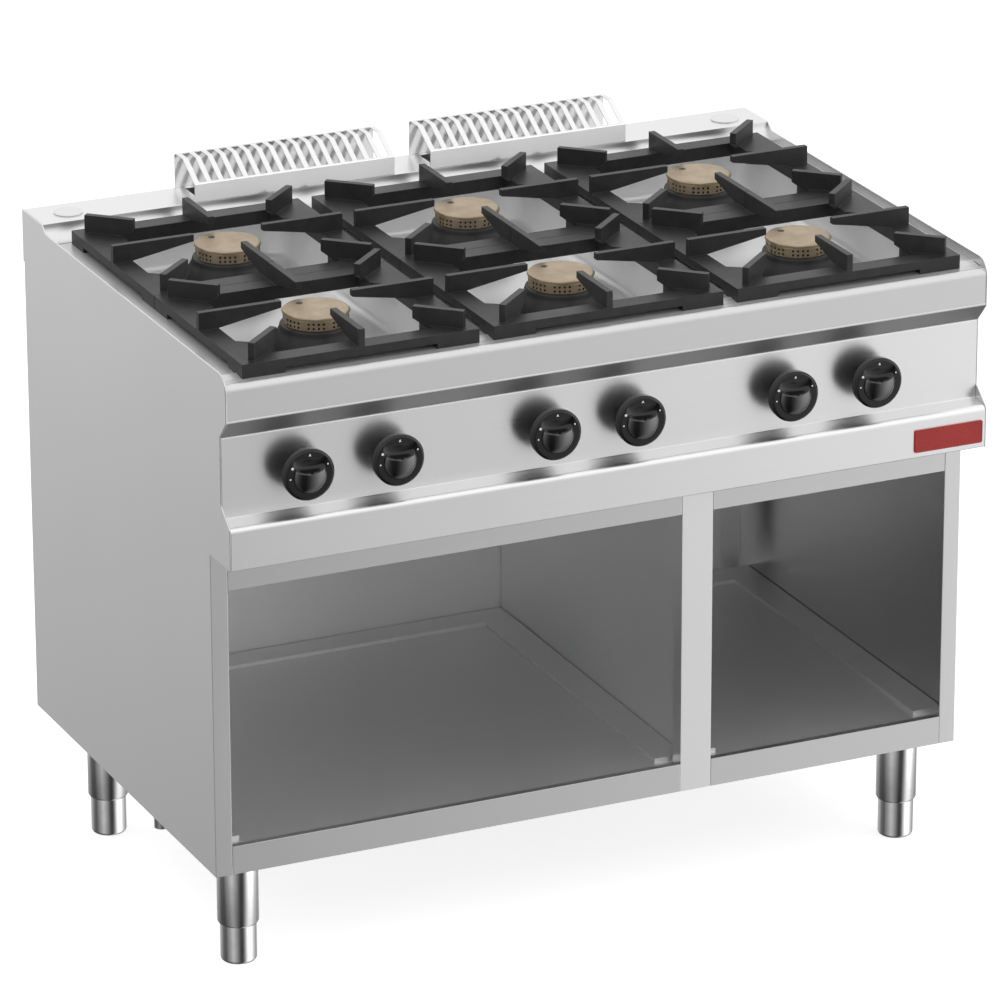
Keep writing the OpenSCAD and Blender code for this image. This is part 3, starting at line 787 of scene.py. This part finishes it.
def make_burner_caps():
    """Brass caps: an eight-lobed top plate over a ported band, and a spigot below."""
    seat = SEAT_Z
    for i in SIXES:
        c = middle_mm(f"burner_cap_{i}")
        bm = bmesh.new()
        port_band(bm, 43.4, seat, seat + 13.2, [seat + 0.8, seat + 6.6, seat + 12.4])
        plate = [(40, seat + 12.9), (43.2, seat + 12.9), (44.6, seat + 13.8), (45, seat + 15),
                 (44.9, seat + 16.4), (44.3, seat + 17.4), (43.2, seat + 17.9), (41.5, seat + 18),
                 (36, seat + 17.95), (28, seat + 17.85), (20, seat + 17.8), (0, seat + 17.8),
                 (0, seat + 14), (25, seat + 12)]
        lathe(bm, plate, (0, 0, 0), steps=128)
        for v in bm.verts:
            r = hypot(v.co.x, v.co.y)
            a = atan2(v.co.y, v.co.x)
            if v.co.z > seat + 12.95 and r > 41:
                trim = 1 - 0.022 * (0.5 - 0.5 * cos(PORT_GROUPS * a + pi)) * min(1, (r - 41) / 3)
                v.co.x *= trim
                v.co.y *= trim
        spigot = [(25, seat - 8), (28.8, seat - 8), (29.6, seat - 7.2), (29.6, seat), (39, seat),
                  (39, seat + 13), (25, seat + 13)]
        lathe(bm, spigot, (0, 0, 0))
        bmesh.ops.translate(bm, verts=bm.verts, vec=(c.x, c.y, 0))
        cap = part(f"ported_cap_{i}", bm, brass, "cap_brass", f"burner_cap_{i}", f"burner_cap_{i}")
        cap.data.materials.append(port_shade)
        # a thin dark iron disc on each cap's top, back left of its middle: painted shadow of the grate
        # finger's tip
        bm = bmesh.new()
        shadow_outline = [(0, seat + 17.9), (3.2, seat + 17.9), (4.2, seat + 18), (4.8, seat + 17.9),
                  (4.8, seat + 17), (0, seat + 17)]
        lathe(bm, shadow_outline, (c.x - 12, c.y + 27, 0), steps=32)
        shadow_piece = add_piece(f"cap_painted_shadow_{i}", bm, [burner_iron])
        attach(shadow_piece, f"burner_cap_{i}")


# millimetres on the knob's face, from its middle: the ball's radius, middle and rise, where the scoop
# ends, its half width and depth, where along it the deepest point lies, and the width of the crest's edge
BALL_R, BALL_Z, BALL_RISE = 23.0, -1.5, 8.6
SCOOP_TOP, SCOOP_HALF_W, SCOOP_DEPTH, SCOOP_DEEPEST = 24.0, 22.5, 3.0, 0.38
CREST_Z, CREST_CURVE, CREST_EDGE = 4.4, 0.0095, 1.2


def crest_line(x):
    """Height of the edge between the ball and the scoop."""
    return CREST_Z + CREST_CURVE * x * x


def knob_height(x, z, ring):
    """How far the knob's face stands forward at a point: a ball below, a thumb scoop above."""
    away = sqrt(x * x + (z - BALL_Z) ** 2) / BALL_R
    ball = BALL_RISE * sqrt(max(0.0, 1 - away * away))
    crest = crest_line(x)
    if z <= crest - CREST_EDGE:
        return ring + ball
    crest_away = sqrt(x * x + (crest - BALL_Z) ** 2) / BALL_R
    crest_ball = BALL_RISE * sqrt(max(0.0, 1 - crest_away * crest_away))
    if z < crest:
        blend = (z - (crest - CREST_EDGE)) / CREST_EDGE
        return ring + ball * (1 - blend) + crest_ball * blend
    t = min(1.0, max(0.0, (z - crest) / (SCOOP_TOP - crest)))
    depth = SCOOP_DEPTH * sqrt(max(0.0, 1 - (x / SCOOP_HALF_W) ** 2))
    if t < SCOOP_DEEPEST:
        scoop = crest_ball - (crest_ball + depth) * sin(pi / 2 * t / SCOOP_DEEPEST)
    else:
        scoop = -depth * cos(pi / 2 * (t - SCOOP_DEEPEST) / (1 - SCOOP_DEEPEST))
    if away >= 1.0 and z > crest:
        scoop = min(0.0, scoop)
    return ring + scoop


RING_OUTER, GRIP_OUTER, DOT_CIRCLE = 31.4, 23.2, 27.6


def make_knobs():
    """Glossy knobs: a deep skirt, a rounded rim, a flat marked ring and a ball grip with a scoop."""
    steps = 120
    for i in SIXES:
        c = middle_mm(f"knob_{i}")
        back, front = high_mm(f"knob_{i}").y, low_mm(f"knob_{i}").y
        ring_y = front + BALL_RISE
        flange_y = ring_y + 12.4
        bm = bmesh.new()
        outline = rounded([(5, back, 0), (20.5, back, 0.8), (20.5, flange_y, 1.5), (34.6, flange_y, 1.2),
                           (35, ring_y + 2.4, 1.2), (32.8, ring_y, 0.9)], 4, closed=False)[1:]
        rings = []
        for r, y in outline[:-1] + [(32.6, ring_y), (RING_OUTER, ring_y)]:
            rings.append([bm.verts.new((r * cos(2 * pi * k / steps), y, r * sin(2 * pi * k / steps)))
                          for k in range(steps)])
        for j in range(1, 9):
            f = j / 8
            loop = []
            for k in range(steps):
                a = 2 * pi * k / steps
                r = RING_OUTER + (GRIP_OUTER - RING_OUTER) * f
                x, z = r * cos(a), r * sin(a) + BALL_Z * f
                loop.append(bm.verts.new((x, -knob_height(x, z, -ring_y), z)))
            rings.append(loop)
        for j in range(1, 25):
            r = GRIP_OUTER * cos(pi / 2 * j / 24)
            if r < 0.1:
                rings.append([bm.verts.new((0, -knob_height(0, BALL_Z, -ring_y), BALL_Z))] * steps)
                break
            loop = []
            for k in range(steps):
                a = 2 * pi * k / steps
                x, z = r * cos(a), r * sin(a) + BALL_Z
                loop.append(bm.verts.new((x, -knob_height(x, z, -ring_y), z)))
            rings.append(loop)
        bore = [(34, back), (4.2, back), (4.2, back - 14), (0, back - 14)]
        under = []
        for r, y in bore[1:]:
            if r == 0:
                under.append([bm.verts.new((0, y, 0))] * steps)
            else:
                under.append([bm.verts.new((r * cos(2 * pi * k / steps), y, r * sin(2 * pi * k / steps)))
                              for k in range(steps)])
        chain = under[::-1] + rings
        for a, b in zip(chain, chain[1:]):
            bridge(bm, a, b)
        for face in bm.faces:
            middle = face.calc_center_median()
            on_ball = middle.z < crest_line(middle.x) and middle.y < ring_y - 0.2
            face.material_index = int(on_ball)
        bmesh.ops.translate(bm, verts=bm.verts, vec=(c.x, 0, c.z))
        knob = part(f"grip_knob_{i}", bm, black_plastic, "knob_plastic", f"knob_{i}", f"knob_{i}", sharp=50)
        knob.data.materials.append(polished_plastic)
        bm = bmesh.new()
        for angle, size in ((153, 1.7), (184, 1.1), (26, 1.1)):
            x, z = DOT_CIRCLE * cos(radians(angle)), DOT_CIRCLE * sin(radians(angle))
            dot = [(0, ring_y - 0.25), (size - 0.2, ring_y - 0.25), (size, ring_y - 0.1),
                   (size, ring_y + 0.3), (0, ring_y + 0.3)]
            lathe(bm, dot, (c.x + x, 0, c.z + z), axis="y", steps=20)
        tip = [(-1.7, 26.2), (0, 29.6), (1.7, 26.2), (0.7, 26.0), (0, 27.4), (-0.7, 26.0)]
        near = add_loop(bm, [(c.x + x, ring_y - 0.25, c.z + z) for x, z in tip])
        far = add_loop(bm, [(c.x + x, ring_y + 0.3, c.z + z) for x, z in tip])
        bridge(bm, near, far)
        bm.faces.new(near)
        bm.faces.new(far)
        marks = add_piece(f"knob_marks_{i}", bm, [mark_paint])
        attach(marks, f"knob_{i}")


def make_springs():
    """A coil of round wire on each spindle, with closed ends."""
    front, back = low_mm("valve_springs").y, high_mm("valve_springs").y
    coil, wire = 6.6, 0.6
    turns, per_turn, sides = 6, 24, 10
    for i in SIXES:
        c = middle_mm(f"knob_{i}")
        bm = bmesh.new()
        loops = []
        for k in range(turns * per_turn + 1):
            angle = 2 * pi * k / per_turn
            climb = min(1, max(0, (k / per_turn - 0.8) / (turns - 1.6)))
            y = front + wire + (back - front - 2 * wire) * climb
            loop = []
            for j in range(sides):
                r = coil + wire * cos(2 * pi * j / sides)
                loop.append((c.x + r * cos(angle), y + wire * sin(2 * pi * j / sides), c.z + r * sin(angle)))
            loops.append(add_loop(bm, loop))
        for first, second in zip(loops, loops[1:]):
            bridge(bm, first, second)
        bm.faces.new(loops[0])
        bm.faces.new(loops[-1])
        spring = part(f"return_spring_{i}", bm, polished, "polished_steel", "range_body", "valve_springs")
        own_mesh(spring)


def make_badge():
    """A blank plate with rounded corners and a fine raised rim."""
    a, b = low_mm("badge_plate"), high_mm("badge_plate")
    cx, cz = (a.x + b.x) / 2, (a.z + b.z) / 2
    hw, hh = (b.x - a.x) / 2, (b.z - a.z) / 2
    bm = bmesh.new()
    levels = [(0, b.y), (0, a.y + 0.5), (0.15, a.y + 0.15), (0.5, a.y), (1.4, a.y), (1.7, a.y + 0.3),
              (2.0, a.y + 0.4)]
    loops = []
    for inset, y in levels:
        outline = rounded_rectangle(cx, cz, hw - inset, hh - inset, 2.6 - inset * 0.7, 0, 5)
        loops.append(add_loop(bm, [(p[0], y, p[1]) for p in outline]))
    for p, q in zip(loops, loops[1:]):
        bridge(bm, p, q)
    bm.faces.new(loops[0])
    bm.faces.new(loops[-1])
    part("blank_badge", bm, red_enamel, "badge_enamel", "range_body", "badge_plate")


def dress_cad():
    """Materials and broken edges for the CAD nodes that stay as they are."""
    finish_cad(["cabinet_rails"], rail_satin)
    finish_cad(["centre_post"], satin)
    finish_cad(["flue_grille_left", "flue_grille_right", "upstand_plugs"], bright)
    finish_cad(["side_panel_left", "side_panel_right"], side_satin, 0.0008)
    finish_cad(["back_panel", "cabinet_back", "cabinet_floors", "cabinet_ledges",
                "cabinet_partition", "cabinet_ceiling", "base_runners"], inner)
    finish_cad(["leg_sleeves"] + [f"foot_{i}" for i in FOURS], polished)
    finish_cad([f"valve_spindle_{i}" for i in SIXES], polished, 0.0003)
    finish_cad(["valve_bodies"] + [f"valve_plug_{i}" for i in SIXES], valve_brass, 0.0003)
    finish_cad(["gas_manifold", "mixing_tubes"], pipe, 0.0004)
    finish_cad(["supply_tubes"], copper, 0.0003)
    finish_cad(["pilot_burners"], burner_iron)
    finish_cad([f"grate_{i}" for i in SIXES], iron, 0.0018)
    # the inner back wall of each grille takes the lighter copy: partly painted light; the bars' shadows on
    # it come from the key lamp
    for node in GRILLES:
        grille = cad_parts[node]
        grille.data.materials.append(grille_back_lightened)
        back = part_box(node)[1].y
        for face in grille.data.polygons:
            if face.normal.y < -0.9 and back - 0.004 < face.center.y < back - 0.0005:
                face.material_index = 1


make_camera()
make_world()
make_grille_light()
make_floor()
dress_cad()
make_worktop()
make_control_panel()
make_upstand()
make_burner_bodies()
make_burner_caps()
make_knobs()
make_springs()
make_badge()
